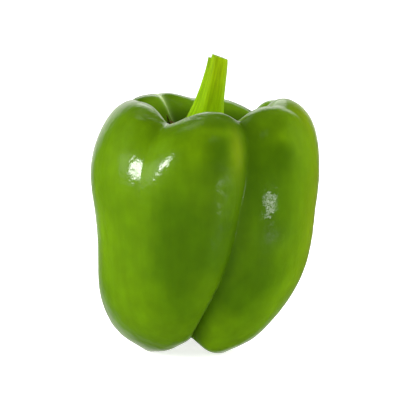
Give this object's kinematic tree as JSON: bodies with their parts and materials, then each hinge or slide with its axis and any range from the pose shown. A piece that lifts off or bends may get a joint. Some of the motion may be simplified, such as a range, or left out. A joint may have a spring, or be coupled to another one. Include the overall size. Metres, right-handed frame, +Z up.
{
  "type": "bell pepper",
  "caption": "Green bell pepper standing on its tips: blocky lobed fruit with a deep front groove, a hollow top, and a ribbed cut stem on its calyx.",
  "frame": {"origin": "below the middle of the pepper's box, on the surface that it stands on", "axes": "+Z up along the stem, -Y towards the front with the deep groove, +X to the right of it"},
  "size_m": [0.0856, 0.0834, 0.1118],
  "materials": {
    "skin": "glossy waxy skin",
    "stem": "satin, ribbed"
  },
  "bodies": {
    "root": {"fruit": "skin", "stem_calyx": "stem"}
  },
  "joints": []
}
